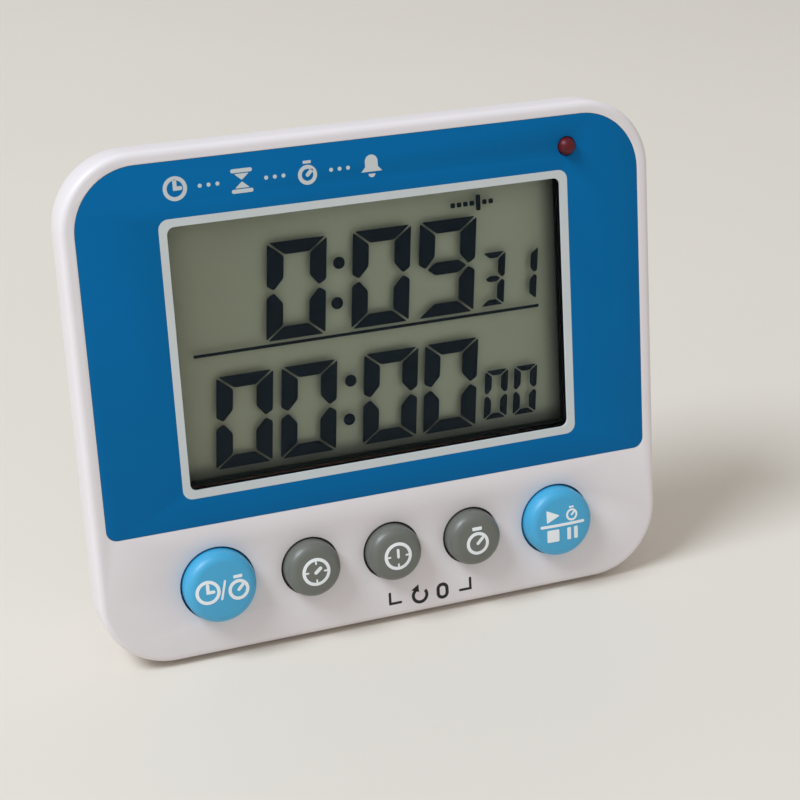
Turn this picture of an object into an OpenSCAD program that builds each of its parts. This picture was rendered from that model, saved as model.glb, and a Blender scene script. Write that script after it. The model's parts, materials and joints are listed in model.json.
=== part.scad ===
// Digital bench timer: a two-shell case with a display, five push buttons, an
// alarm lamp, two AAA cells and a fold-out stand, leaning back on that stand.
//
// The parts are drawn lying flat with the front face up: x runs across the
// face, y runs up the face from the bottom edge, and z = 0 is the face, so a
// depth behind the face is a negative z. stood_up() then tips each one into
// the standing pose, with +Z up and the front facing -Y.

/* [Case] */
// Width of the case
body_w = 98.8; // [98.8:0.2:102]
// Height of the case, measured up the sloping front
body_h = 83; // [83:0.5:86]
// Thickness from the front face to the rear face
body_d = 18.5; // [18.5:0.1:20]
// Depth of the front shell, back to the joint between the shells
front_depth = 6.5; // [6.3:0.1:6.9]
// Corner radius of the case outline
corner_r = 11.8; // [11.5:0.1:12.2]
// Radius along the front edge
edge_round = 1.1; // [0.8:0.1:2.2]
// Thickness of the front plate
front_wall = 2; // [2:0.05:2.05]
// Thickness of the side walls of the front shell
side_wall = 1.8; // [1.6:0.1:2]
// Thickness of the rear shell
rear_wall = 1.6; // [1.4:0.1:1.7]

/* [Face] */
// Gap from the face panel to the side and top edges of the case
panel_margin = 2.2; // [2:0.1:2.6]
// Bottom edge of the face panel, up from the bottom of the case
panel_bottom = 22.3; // [21.8:0.1:22.8]
// Thickness of the face panel
panel_t = 0.5; // [0.4:0.05:0.5]
// Width of the display window
window_w = 66.2; // [62:0.1:66.8]
// Height of the display window
window_h = 42.7; // [40:0.1:43.2]
// Centre of the display window, up from the bottom of the case
window_y = 49.65; // [49.5:0.05:49.8]

/* [Buttons] */
// Height of the button row above the bottom of the case
button_y = 12.1; // [12:0.1:12.4]
// Distance from the middle button to the hour and second buttons
small_pitch = 14.27; // [13.8:0.01:14.6]
// Distance from the middle button to the two large buttons
large_pitch = 30; // [29.6:0.1:30.2]
// Diameter of the holes for the large buttons
large_hole = 12.6; // [12:0.1:12.8]
// Diameter of the holes for the small buttons
small_hole = 10; // [9.4:0.1:10.2]
// Height of a cap above the face
button_rise = 3; // [2:0.1:3.2]
// Travel of a button
button_travel = 0.9; // [0.6:0.05:0.9]

/* [Stand] */
// Lean of the case away from upright, in degrees
lean = 9; // [7:0.5:12]
// Height of the stand's hinge, up the rear of the case
hinge_y = 11; // [11:0.1:11.4]
// Distance from the hinge to the centre of the rounded foot
stand_reach = 27; // [25:0.1:27]
// Width of the stand
stand_w = 42; // [30:0.5:42]
// Thickness of the stand
stand_t = 2.6; // [2.2:0.1:2.6]

/* [Hidden] */

// Smoothness of round parts, and a small overlap that keeps cuts clean
$fn = 48;
cut = 0.1;
arc_steps = 8;

// Case outline: the centres of its four corner arcs
corner_x = body_w / 2 - corner_r;
corner_low = corner_r;
corner_high = body_h - corner_r;

// Rear shell: its sides slope in from the joint to the rear face
joint_step = 0.3;
rear_flat = 4.9;
rear_round = 2.2;
rear_slope = 20;
rear_inside = body_d - rear_wall;
lip_gap = 0.1;
lip_t = 1;
lip_front = front_depth - 1.5;
lip_back = front_depth + 1.5;

// Case screws
case_screw_x = corner_x + 1.9;
case_screw_low = corner_low - 1.3;
case_screw_high = corner_high + 1.3;
case_screw_r = 1;
case_screw_len = 7;
case_head_r = 1.9;
case_head_h = 1.3;
case_boss_r = 2.6;
case_meet = 9;
boss_gap = 0.1;
head_gap = 0.3;
case_seat = 10.6;
thread_gap = 0.02;
shaft_gap = 0.15;
screw_tip_gap = 0.5;
drive_w = 0.5;
drive_depth = 0.6;
drive_span = 1.4;

// Face panel
panel_half = body_w / 2 - panel_margin;
panel_top = body_h - 1.9;
panel_top_r = 10;
panel_bottom_r = 1.8;
sheet_gap = 0.1;

// Window, gasket and display
lens_t = 1;
lens_overlap = 2.5;
lens_r = 1.5;
window_r = 1.2;
gasket_w = 1.1;
gasket_gap = 0.15;
lens_back = panel_t + lens_t;
lcd_front = 2.1;
glass_t = 1.1;
cell_gap = 0.04;
lcd_mid = lcd_front + glass_t;
lcd_back = lcd_mid + cell_gap + glass_t;
reflector_t = 0.2;
lcd_half = 36.5;
lcd_top = 74;
lcd_low = 24.5;
lcd_ledge = 3.3;
zebra_half = 32;
zebra_low = 0.4;
zebra_t = 2;
pad_w = 10;
pad_low = 5;
pad_h = 4;
rib_t = 1;
rib_gap = 0.2;

// Circuit board
board_front = front_depth;
board_t = 1.2;
board_back = board_front + board_t;
board_half = 43;
board_low = 3.2;
board_high = 33;
board_corner_r = 5;
arm_left = 30;
arm_right = 41;
arm_high = 79;
board_screw_x = 22;
board_screw_ys = [5.6, 21.7];
board_screw_r = 0.7;
board_screw_grip = 3;
board_head_r = 1.5;
board_head_h = 1;
board_post_r = 1.9;

// Alarm lamp: a 3 mm LED
led_x = 34.5;
led_y = 76;
led_r = 1.5;
led_rise = 1.3;
led_base = 4.4;
led_flange_r = 1.9;
lead_pitch = 2.54;
lead_size = 0.5;

// Chip, crystal and small components on the board
chip_x = -6;
chip_y = 15;
crystal_r = 1;
crystal_len = 6;
part_w = 2;
part_l = 1.2;
part_h = 0.6;
part_step = [3.4, 3.2];
part_offset = [10, -4];
crystal_offset = [15, 6];
boss_hole_gap = 0.8;
board_hole_gap = 0.3;
lead_gap = 0.2;
lead_tail = 0.8;

// Buttons
cap_gap = 0.35;
cap_round = 1.6;
cap_crown = 0.2;
flange_over = 0.85;
flange_t = 0.8;
flange_gap = 0.05;
plunger_r = 2.6;
pill_r = 1.5;
pill_t = 0.3;
pill_gap = 0.05;
mat_w = 76;
mat_h = 14.6;
mat_r = 2;
mat_t = 0.8;
mat_hole = 0.8;
mat_gap = 0.4;
pill_back = board_front - button_travel - pill_gap;

// Cells and their compartment
aaa_r = 5.25;
aaa_len = 44.5;
nub_r = 1.9;
nub_len = 0.8;
cell_pitch = 11.2;
bay_half = 25.6;
bay_y = 53;
bay_h = 2 * cell_pitch;
bay_wall = 1.2;
bay_front = 5.1;
bay_floor = 1;
bay_rib_half = 20;
bay_rib_t = 0.8;
bay_rib_h = 1;
grip_edge = 2.4;
grip_depth = 0.5;
cell_depth = bay_front + bay_floor + aaa_r + 0.05;
contact_t = 0.4;
contact_w = 10;
contact_low = 6.6;
contact_high = 15.6;
contact_gap = 0.05;
tail_w = 2;
tail_depth = 8.2;
tail_len = 1.6;
tail_gap = 0.2;
spring_wire = 0.35;
door_gap = 0.15;
door_r = 1.5;

// Stand: the open angle puts the foot on the table
hinge_depth = body_d - 1.5;
foot_r = stand_t / 2;
rest_lift = front_depth * sin(lean);
hinge_height = hinge_y * cos(lean) - hinge_depth * sin(lean) + rest_lift;
stand_dip = asin((hinge_height - foot_r) / stand_reach);
stand_open = 90 + stand_dip - lean;
hinge_pin_r = 0.9;
hinge_pin_len = 1.2;
pin_gap = 0.05;
pin_end_gap = 0.15;
stand_rim = 4;
stand_end = 7;
stand_dish = 0.6;
notch_offset = 2;
pocket_gap = 0.3;
pocket_low = hinge_y - foot_r - 0.45;
pocket_high = hinge_y + stand_reach + foot_r + pocket_gap;
pocket_depth = 3.4;
pocket_floor = 1.2;
pocket_wall = 1.6;

// Things in the rear shell
magnet_r = 6;
magnet_t = 2.5;
magnet_proud = 0.1;
magnet_wall = 1.3;
magnet_gap = 0.1;
magnet_seat_gap = 0.05;
magnet_x = 35.5;
magnet_y = 54;
hang_y = 70.6;
hang_r = 3.5;
hang_slot = 1.6;
hang_top = 75.6;
cup_half = 6;
cup_low = 66;
cup_high = 77.4;
cup_depth = 5;
cup_wall = 1;
buzzer_x = 33;
buzzer_y = 26;
piezo_r = 9;
piezo_t = 0.2;
ceramic_r = 6.2;
ring_h = 1.4;
ring_lap = 0.2;
ring_wall = 1;
sound_hole_r = 0.75;
sound_ring_r = 3.2;
switch_x = -33;
switch_y = 26;
switch_travel = 2;
switch_half_w = 2;
switch_half_h = 4.5;
switch_body_d = 3.6;
lever_half = 0.75;
lever_reach = 6.2;
lever_gap = [0.15, 0.45];
lever_well = 2.2;
lever_foot = 2.5;
knob_w = 3.6;
knob_h = 5.6;
knob_gap = [0.4, 0.6];
knob_sink = 0.2;
knob_groove_step = 1.8;
knob_groove_w = 0.5;
plate_gap = 0.3;
plate_over = [3, 1.6];
fork_size = [4, 3.4];
fork_gap = 0.1;

// The standing pose puts the origin under the middle of the whole timer
front_reach = button_rise * cos(lean) - (button_y - large_hole / 2 + cap_round) * sin(lean);
back_reach = hinge_y * sin(lean) + hinge_depth * cos(lean)
    + stand_reach * cos(stand_dip) + foot_r;
origin_shift = (back_reach - front_reach) / 2;

// ---- Geometry helpers

// Points along an arc, with angles in degrees
function arc(centre, r, from, to) =
    [for (i = [0 : arc_steps])
        let (a = from + (to - from) * i / arc_steps)
        centre + r * [cos(a), sin(a)]];

function flipped(list) = [for (i = [len(list) - 1 : -1 : 0]) list[i]];

function unit(v) = v / norm(v);

// A smooth curve through hand-placed points (Catmull-Rom)
function curve(points, steps) =
    let (last = len(points) - 1)
    [for (i = [0 : last - 1], k = [0 : steps - (i == last - 1 ? 0 : 1)])
        let (
            t = k / steps,
            a = points[max(i - 1, 0)],
            b = points[i],
            c = points[i + 1],
            d = points[min(i + 2, last)]
        )
        0.5 * (2 * b + t * (c - a) + t * t * (2 * a - 5 * b + 4 * c - d)
            + t * t * t * (3 * b - 3 * c + d - a))];

// Round wire swept along a path; the path never runs parallel to side
module wire(path, r, side) {
    sides = 8;
    last = len(path) - 1;
    rings = [for (i = [0 : last])
        let (
            ahead = unit(path[min(i + 1, last)] - path[max(i - 1, 0)]),
            across = unit(cross(ahead, side)),
            upward = cross(across, ahead)
        )
        for (k = [0 : sides - 1])
            path[i] + r * (across * cos(360 * k / sides) + upward * sin(360 * k / sides))];
    skin = [for (i = [0 : last - 1], k = [0 : sides - 1])
        let (n = (k + 1) % sides)
        [i * sides + k, i * sides + n, (i + 1) * sides + n, (i + 1) * sides + k]];
    start_cap = [[for (k = [sides - 1 : -1 : 0]) k]];
    end_cap = [[for (k = [0 : sides - 1]) last * sides + k]];
    polyhedron(rings, concat(start_cap, skin, end_cap));
}

// Tips a part from the flat drawing frame into the standing pose
module stood_up() {
    translate([0, -origin_shift, rest_lift])
        rotate([90 - lean, 0, 0])
            children();
}

// Gives a 2D outline a thickness between two depths behind the face
module layer(front, back) {
    translate([0, 0, -back])
        linear_extrude(back - front)
            children();
}

module round_rect(w, h, r) {
    square([w - 2 * r, h], center = true);
    square([w, h - 2 * r], center = true);
    for (x = [-1, 1], y = [-1, 1])
        translate([x * (w / 2 - r), y * (h / 2 - r)])
            circle(r);
}

// Box between two opposite corners
module block(low, high) {
    translate(low)
        cube(high - low);
}

// A slab on the case outline. The profile runs from its back to its front as
// [reach out from the corner centres, z].
module slab(profile) {
    for (x = [-corner_x, corner_x], y = [corner_low, corner_high])
        translate([x, y, 0])
            rotate_extrude()
                polygon(profile);
    translate([-corner_x, 0, 0])
        rotate([90, 0, 90])
            linear_extrude(2 * corner_x)
                polygon(concat(
                    [for (p = profile) [corner_high + p[0], p[1]]],
                    [for (p = flipped(profile)) [corner_low - p[0], p[1]]]
                ));
    translate([0, corner_high, 0])
        rotate([90, 0, 0])
            linear_extrude(corner_high - corner_low)
                polygon(concat(
                    [for (p = profile) [corner_x + p[0], p[1]]],
                    [for (p = flipped(profile)) [-corner_x - p[0], p[1]]]
                ));
}

// A slab with straight sides between two depths
function straight_profile(reach, front, back) =
    [[0, -back], [reach, -back], [reach, -front], [0, -front]];

module at_case_screws() {
    for (x = [-case_screw_x, case_screw_x], y = [case_screw_low, case_screw_high])
        translate([x, y, 0])
            children();
}

module at_board_screws() {
    for (x = [-board_screw_x, board_screw_x], y = board_screw_ys)
        translate([x, y, 0])
            children();
}

module at_large_buttons() {
    for (x = [-large_pitch, large_pitch])
        translate([x, button_y, 0])
            children();
}

module at_small_buttons() {
    for (x = [-small_pitch, 0, small_pitch])
        translate([x, button_y, 0])
            children();
}

// ---- Case

module front_housing() {
    color("whitesmoke")
        stood_up()
            difference() {
                union() {
                    front_shell();
                    at_case_screws()
                        layer(front_wall - cut, case_meet)
                            circle(case_boss_r);
                    at_board_screws()
                        layer(front_wall - cut, board_front)
                            circle(board_post_r);
                    display_ribs();
                }
                layer(-cut, panel_t)
                    panel_outline(0);
                layer(-cut, lens_back)
                    translate([0, window_y])
                        round_rect(
                            window_w + 2 * lens_overlap + sheet_gap,
                            window_h + 2 * lens_overlap + sheet_gap,
                            lens_r
                        );
                layer(-cut, front_wall + cut)
                    translate([0, window_y])
                        round_rect(window_w + 2 * gasket_w + sheet_gap,
                            window_h + 2 * gasket_w + sheet_gap, window_r + gasket_w);
                at_large_buttons()
                    layer(-cut, front_wall + cut)
                        circle(large_hole / 2);
                at_small_buttons()
                    layer(-cut, front_wall + cut)
                        circle(small_hole / 2);
                translate([led_x, led_y, 0])
                    layer(-cut, front_wall + cut)
                        circle(led_r + sheet_gap);
                at_case_screws()
                    layer(case_seat - case_screw_len - thread_gap, case_meet + cut)
                        circle(case_screw_r + thread_gap);
                at_board_screws()
                    layer(board_front - board_screw_grip - screw_tip_gap, board_front + cut)
                        circle(board_screw_r + thread_gap);
            }
}

module front_shell() {
    outside = concat(
        [[0, -front_depth], [corner_r, -front_depth]],
        arc([corner_r - edge_round, -edge_round], edge_round, 0, 90),
        [[0, 0]]
    );
    difference() {
        slab(outside);
        slab(straight_profile(corner_r - side_wall, front_wall, front_depth + cut));
    }
}

// Ribs that hold the display in place from both sides and from above
module display_ribs() {
    rib_x = lcd_half + rib_gap;
    rib_y = lcd_top + rib_gap;
    shorter = 2;
    top_half = 28;
    for (side = [0, 1])
        mirror([side, 0, 0])
            block([rib_x, lcd_low + shorter, -lcd_back],
                [rib_x + rib_t, lcd_top - shorter, -front_wall + cut]);
    block([-top_half, rib_y, -lcd_back], [top_half, rib_y + rib_t, -front_wall + cut]);
}

// Outline of the blue panel, smaller all round by inset
module panel_outline(inset) {
    half = panel_half - inset;
    low = panel_bottom + inset;
    high = panel_top - inset;
    translate([-half, low + panel_bottom_r])
        square([2 * half, high - low - panel_bottom_r - panel_top_r]);
    translate([-half + panel_bottom_r, low])
        square([2 * (half - panel_bottom_r), 2 * panel_bottom_r]);
    translate([-half + panel_top_r, high - 2 * panel_top_r])
        square([2 * (half - panel_top_r), 2 * panel_top_r]);
    for (side = [-1, 1]) {
        translate([side * (half - panel_bottom_r), low + panel_bottom_r])
            circle(panel_bottom_r);
        translate([side * (half - panel_top_r), high - panel_top_r])
            circle(panel_top_r);
    }
}

module face_panel() {
    color("steelblue")
        stood_up()
            layer(0, panel_t)
                difference() {
                    panel_outline(sheet_gap / 2);
                    translate([0, window_y])
                        round_rect(window_w, window_h, window_r);
                    translate([led_x, led_y])
                        circle(led_r + sheet_gap);
                }
}

module rear_housing() {
    color("white")
        stood_up()
            difference() {
                union() {
                    rear_shell();
                    at_case_screws()
                        layer(case_meet + boss_gap, body_d - 1)
                            circle(case_head_r + head_gap + 1);
                    bay_block();
                    stand_block();
                    hang_cup();
                    for (x = [-magnet_x, magnet_x])
                        translate([x, magnet_y, 0])
                            layer(rear_inside - magnet_t + magnet_proud, rear_inside + cut)
                                circle(magnet_r + magnet_wall);
                    translate([buzzer_x, buzzer_y, 0])
                        buzzer_ring();
                }
                bay_space();
                stand_space();
                at_case_screws() {
                    layer(case_meet, body_d + cut)
                        circle(case_screw_r + shaft_gap);
                    layer(case_seat, body_d + cut)
                        circle(case_head_r + head_gap);
                }
                for (x = [-magnet_x, magnet_x])
                    translate([x, magnet_y, 0])
                        layer(body_d - magnet_t + magnet_proud - magnet_seat_gap, body_d + cut)
                            circle(magnet_r + magnet_gap);
                layer(rear_inside - cut, body_d + cut)
                    hang_hole();
                translate([buzzer_x, buzzer_y, 0])
                    layer(rear_inside - cut, body_d + cut)
                        sound_holes();
                translate([switch_x, switch_y, 0])
                    layer(rear_inside - cut, body_d + cut)
                        square([knob_w + knob_gap[0], knob_h + 2 * switch_travel + knob_gap[1]],
                            center = true);
            }
}

module rear_shell() {
    joint_reach = corner_r - joint_step;
    outside = concat(
        [[0, -body_d]],
        arc([rear_flat, rear_round - body_d], rear_round, -90, -rear_slope),
        [[joint_reach, -front_depth], [0, -front_depth]]
    );
    inside = [
        [0, -rear_inside], [rear_flat, -rear_inside],
        [joint_reach - side_wall, -front_depth + cut], [0, -front_depth + cut]
    ];
    lip_reach = corner_r - side_wall - lip_gap;
    difference() {
        slab(outside);
        slab(inside);
    }
    difference() {
        slab(straight_profile(lip_reach, lip_front, lip_back));
        slab(straight_profile(lip_reach - lip_t, lip_front - cut, lip_back + cut));
    }
}

module buzzer_ring() {
    difference() {
        layer(rear_inside - ring_h, rear_inside + cut)
            circle(piezo_r - ring_lap);
        layer(rear_inside - ring_h - cut, rear_inside)
            circle(piezo_r - ring_lap - ring_wall);
    }
}

module sound_holes() {
    circle(sound_hole_r);
    for (i = [0 : 5])
        rotate(60 * i)
            translate([sound_ring_r, 0])
                circle(sound_hole_r);
}

// Keyhole for hanging the timer on a screw
module hang_hole() {
    translate([0, hang_y])
        circle(hang_r);
    translate([-hang_slot, hang_y])
        square([2 * hang_slot, hang_top - hang_slot - hang_y]);
    translate([0, hang_top - hang_slot])
        circle(hang_slot);
}

// Closed cup behind the keyhole, so that a screw head stays off the wiring
module hang_cup() {
    difference() {
        block([-cup_half, cup_low, -rear_inside - cut],
            [cup_half, cup_high, -rear_inside + cup_depth]);
        block([-cup_half + cup_wall, cup_low + cup_wall, -rear_inside - 2 * cut],
            [cup_half - cup_wall, cup_high - cup_wall, -rear_inside + cup_depth - cup_wall]);
    }
}

// Solid that the battery bay is cut from
module bay_block() {
    half_w = bay_half + bay_wall;
    half_h = bay_h / 2 + bay_wall;
    block([-half_w, bay_y - half_h, -rear_inside - cut], [half_w, bay_y + half_h, -bay_front]);
}

module bay_space() {
    half_h = bay_h / 2;
    difference() {
        block([-bay_half, bay_y - half_h, -body_d],
            [bay_half, bay_y + half_h, -bay_front - bay_floor]);
        // Low rib that parts the two cells
        block([-bay_rib_half, bay_y - bay_rib_t / 2, -bay_front - bay_floor - bay_rib_h],
            [bay_rib_half, bay_y + bay_rib_t / 2, -bay_front - bay_floor + cut]);
    }
    layer(rear_inside, body_d + cut)
        translate([0, bay_y])
            round_rect(2 * (bay_half + bay_wall + door_gap), bay_h + 2 * bay_wall + 2 * door_gap,
                door_r + door_gap);
    // Slots in the end wall for the two contact tails
    slot_half = tail_w / 2 + tail_gap;
    for (y = [bay_y - cell_pitch / 2, bay_y + cell_pitch / 2])
        block([-bay_half - bay_wall - cut, y - slot_half, -tail_depth - contact_t],
            [-bay_half + cut, y + slot_half, -tail_depth + contact_t]);
}

// Solid that the stand's pocket is cut from
module stand_block() {
    half = stand_w / 2 + pocket_gap + pocket_wall;
    block([-half, pocket_low - pocket_wall, -rear_inside - cut],
        [half, pocket_high + pocket_wall, -body_d + pocket_depth + pocket_floor]);
}

module stand_space() {
    half = stand_w / 2 + pocket_gap;
    block([-half, pocket_low, -body_d - cut], [half, pocket_high, -body_d + pocket_depth]);
    translate([0, hinge_y, -hinge_depth])
        rotate([0, 90, 0])
            cylinder(r = hinge_pin_r + pin_gap, h = stand_w + 2 * (hinge_pin_len + pin_end_gap),
                center = true);
}

module battery_door() {
    grip_half = 8;
    grip_low = bay_y - bay_h / 2 + grip_edge;
    color("white")
        stood_up()
            difference() {
                layer(rear_inside, body_d)
                    translate([0, bay_y])
                        round_rect(2 * (bay_half + bay_wall), bay_h + 2 * bay_wall, door_r);
                // Three finger grooves near the lower edge
                for (i = [0 : 2])
                    block([-grip_half, grip_low + 2 * i, -body_d - cut],
                        [grip_half, grip_low + 2 * i + 1, -body_d + grip_depth]);
            }
}

// ---- Display

module display_window() {
    color("lightcyan", 0.3)
        stood_up()
            layer(panel_t, lens_back)
                translate([0, window_y])
                    round_rect(window_w + 2 * lens_overlap, window_h + 2 * lens_overlap, lens_r);
}

module display_gasket() {
    color("dimgray")
        stood_up()
            layer(lens_back, lcd_front)
                translate([0, window_y])
                    difference() {
                        round_rect(window_w + 2 * gasket_w, window_h + 2 * gasket_w,
                            window_r + gasket_w);
                        round_rect(window_w + 2 * gasket_gap, window_h + 2 * gasket_gap, window_r);
                    }
}

module lcd_front_glass() {
    color("lightgray", 0.4)
        stood_up()
            block([-lcd_half, lcd_low, -lcd_mid], [lcd_half, lcd_top, -lcd_front]);
}

module lcd_rear_glass() {
    color("lightgray", 0.4)
        stood_up()
            block([-lcd_half, lcd_low + lcd_ledge, -lcd_back],
                [lcd_half, lcd_top, -lcd_mid - cell_gap]);
}

module lcd_reflector() {
    inset = 0.8;
    color("darkkhaki")
        stood_up()
            block([-lcd_half + inset, lcd_low + lcd_ledge + inset, -lcd_back - reflector_t],
                [lcd_half - inset, lcd_top - inset, -lcd_back]);
}

// Foam pads between the display and the battery bay
module lcd_pads() {
    color("black")
        stood_up()
            for (x = [-lcd_half / 2, lcd_half / 2])
                block([x - pad_w / 2, bay_y + pad_low, -bay_front],
                    [x + pad_w / 2, bay_y + pad_low + pad_h, -lcd_back - reflector_t]);
}

// Conductive rubber strip from the display's ledge to the board
module zebra_strip() {
    color("pink")
        stood_up()
            block([-zebra_half, lcd_low + zebra_low, -board_front],
                [zebra_half, lcd_low + zebra_low + zebra_t, -lcd_mid]);
}

// ---- Electronics

module circuit_board() {
    color("seagreen")
        stood_up()
            layer(board_front, board_back)
                difference() {
                    union() {
                        translate([-board_half, board_low])
                            square([2 * board_half, board_high - board_low]);
                        translate([arm_left, board_low])
                            square([arm_right - arm_left, arm_high - board_low]);
                    }
                    for (x = [-case_screw_x, case_screw_x], y = [case_screw_low, case_screw_high])
                        translate([x, y])
                            circle(case_boss_r + boss_hole_gap);
                    for (x = [-board_half, board_half])
                        translate([x, board_low])
                            circle(board_corner_r);
                    for (x = [-board_screw_x, board_screw_x], y = board_screw_ys)
                        translate([x, y])
                            circle(board_screw_r + board_hole_gap);
                    for (side = [-1, 1])
                        translate([led_x + side * lead_pitch / 2, led_y])
                            circle(lead_size / 2 + lead_gap);
                }
}

// Epoxy blob over the bonded clock chip, a cap cut from a ball
module chip_blob() {
    ball_r = 10;
    blob_h = 1.4;
    edge = acos((ball_r - blob_h) / ball_r);
    color("black")
        stood_up()
            translate([chip_x, chip_y, -board_back])
                rotate_extrude()
                    polygon(concat(
                        arc([0, ball_r - blob_h], ball_r, -90, edge - 90),
                        [[0, 0]]
                    ));
}

module timing_crystal() {
    color("silver")
        stood_up()
            translate([chip_x + crystal_offset[0], chip_y + crystal_offset[1], -board_back - crystal_r])
                rotate([0, 90, 0])
                    cylinder(r = crystal_r, h = crystal_len);
}

// Surface-mount resistors and capacitors beside the chip
module board_components() {
    color("sandybrown")
        stood_up()
            for (i = [0 : 3], j = [0 : 1])
                translate([chip_x + part_offset[0] + part_step[0] * i,
                    chip_y + part_offset[1] + part_step[1] * j, 0])
                    block([0, 0, -board_back - part_h], [part_w, part_l, -board_back]);
}

module alarm_led() {
    color("firebrick")
        stood_up()
            translate([led_x, led_y, 0])
                rotate_extrude()
                    polygon(concat(
                        [[0, -led_base], [led_flange_r, -led_base], [led_flange_r, 1 - led_base],
                            [led_r, 1 - led_base]],
                        arc([0, led_rise - led_r], led_r, 0, 90)
                    ));
}

module led_leads() {
    half = lead_size / 2;
    color("silver")
        stood_up()
            for (side = [-1, 1])
                translate([led_x + side * lead_pitch / 2, led_y, 0])
                    block([-half, -half, -board_back - lead_tail], [half, half, -led_base]);
}

module piezo_plate() {
    color("goldenrod")
        stood_up()
            translate([buzzer_x, buzzer_y, 0])
                layer(rear_inside - ring_h - piezo_t, rear_inside - ring_h)
                    circle(piezo_r);
}

module piezo_ceramic() {
    back = rear_inside - ring_h - piezo_t;
    color("beige")
        stood_up()
            translate([buzzer_x, buzzer_y, 0])
                layer(back - piezo_t, back)
                    circle(ceramic_r);
}

// Two leads from the piezo disc to the board
module buzzer_wires() {
    wire_r = 0.3;
    disc = -(rear_inside - ring_h - 2 * piezo_t) + wire_r + 0.05;
    board = -board_back - wire_r;
    color("firebrick")
        stood_up()
            for (side = [-1, 1])
                wire(curve([
                    [buzzer_x - 2 + side * 2, buzzer_y + 2, disc],
                    [buzzer_x - 4 + side * 2, buzzer_y - 1, disc + 1.2],
                    [buzzer_x - 7 + side, buzzer_y - 5, (disc + board) / 2],
                    [buzzer_x - 8 + side, buzzer_y - 9, board - 1],
                    [buzzer_x - 8.5 + side, buzzer_y - 10, board]
                ], 4), wire_r, [1, 0.2, 0]);
}

// Two leads from the contact tails in the bay's end wall to the board
module battery_wires() {
    wire_r = 0.4;
    spread = 2;
    tail_x = -bay_half - bay_wall - tail_len - 0.5;
    board = -board_back - wire_r;
    pad_y = board_high - 1;
    color("dimgray")
        stood_up()
            for (upper = [0, 1]) {
                tail_y = bay_y + (upper - 0.5) * cell_pitch;
                out = tail_x - spread * upper;
                wire(curve([
                    [tail_x, tail_y, -tail_depth],
                    [out - 2.5, tail_y - 8, -tail_depth - 1],
                    [out - 2.8, pad_y + 5, -tail_depth - 1.6],
                    [out - 1.6, pad_y + 1.5, board - 0.5],
                    [out - 1.4, pad_y, board]
                ], 4), wire_r, [1, 0.2, 0]);
            }
}

// ---- Buttons

// Silicone mat over the board, open round each key
module keypad_mat() {
    color("lightgray")
        stood_up()
            layer(board_front - mat_t, board_front)
                difference() {
                    translate([0, button_y])
                        round_rect(mat_w, mat_h, mat_r);
                    for (x = [-large_pitch, large_pitch])
                        translate([x, button_y])
                            circle(large_hole / 2 - mat_hole);
                    for (x = [-small_pitch, 0, small_pitch])
                        translate([x, button_y])
                            circle(small_hole / 2 - mat_hole);
                    for (x = [-board_screw_x, board_screw_x], y = board_screw_ys)
                        translate([x, y])
                            circle(board_post_r + mat_gap);
                    for (x = [-case_screw_x, case_screw_x])
                        translate([x, case_screw_low])
                            circle(case_boss_r + mat_gap);
                }
}

// Button cap for a hole, with the flange that keeps it in the case
module cap(x, hole) {
    r = hole / 2 - cap_gap;
    flange_r = hole / 2 + flange_over - cap_gap;
    flange_front = front_wall + flange_gap;
    flat_r = r - cap_round;
    crown_steps = 4;
    stood_up()
        translate([x, button_y, 0])
            rotate_extrude()
                polygon(concat(
                    [[0, -flange_front - flange_t], [flange_r, -flange_front - flange_t],
                        [flange_r, -flange_front], [r, -flange_front]],
                    arc([flat_r, button_rise - cap_round], cap_round, 0, 90),
                    [for (i = [1 : crown_steps])
                        let (t = 1 - i / crown_steps)
                        [flat_r * t, button_rise + cap_crown * (1 - t * t)]]
                ));
}

// Silicone post between a cap and its carbon pill
module plunger(x) {
    color("gainsboro")
        stood_up()
            translate([x, button_y, 0])
                layer(front_wall + flange_gap + flange_t, pill_back - pill_t)
                    circle(plunger_r);
}

module pill(x) {
    color("black")
        stood_up()
            translate([x, button_y, 0])
                layer(pill_back - pill_t, pill_back)
                    circle(pill_r);
}

module mode_button() {
    color("deepskyblue")
        cap(-large_pitch, large_hole);
}

module hour_button() {
    color("dimgray")
        cap(-small_pitch, small_hole);
}

module minute_button() {
    color("dimgray")
        cap(0, small_hole);
}

module second_button() {
    color("dimgray")
        cap(small_pitch, small_hole);
}

module start_stop_button() {
    color("deepskyblue")
        cap(large_pitch, large_hole);
}

module mode_plunger() {
    plunger(-large_pitch);
}

module mode_pill() {
    pill(-large_pitch);
}

module hour_plunger() {
    plunger(-small_pitch);
}

module hour_pill() {
    pill(-small_pitch);
}

module minute_plunger() {
    plunger(0);
}

module minute_pill() {
    pill(0);
}

module second_plunger() {
    plunger(small_pitch);
}

module second_pill() {
    pill(small_pitch);
}

module start_stop_plunger() {
    plunger(large_pitch);
}

module start_stop_pill() {
    pill(large_pitch);
}

// ---- Power

// One AAA cell along x, with its nub towards +x for side 1 and -x for side -1
module cell(y, side) {
    flat = aaa_len - nub_len;
    shoulder = 0.4;
    color("darkseagreen")
        stood_up()
            translate([side * (bay_half - contact_t - contact_gap - aaa_len), y, -cell_depth])
                rotate([0, side * 90, 0])
                    rotate_extrude()
                        polygon([[0, 0], [aaa_r - shoulder, 0], [aaa_r, shoulder],
                            [aaa_r, flat - shoulder], [aaa_r - shoulder, flat], [nub_r, flat],
                            [nub_r, aaa_len], [0, aaa_len]]);
}

module battery_cell_upper() {
    cell(bay_y + cell_pitch / 2, 1);
}

module battery_cell_lower() {
    cell(bay_y - cell_pitch / 2, -1);
}

// Contact plate at one end of the bay, between two heights, with a tail or none
module contact(low, high) {
    block([-bay_half, low, -contact_high], [-bay_half + contact_t, high, -contact_low]);
    translate([0, (low + high) / 2, 0])
        children();
}

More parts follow.
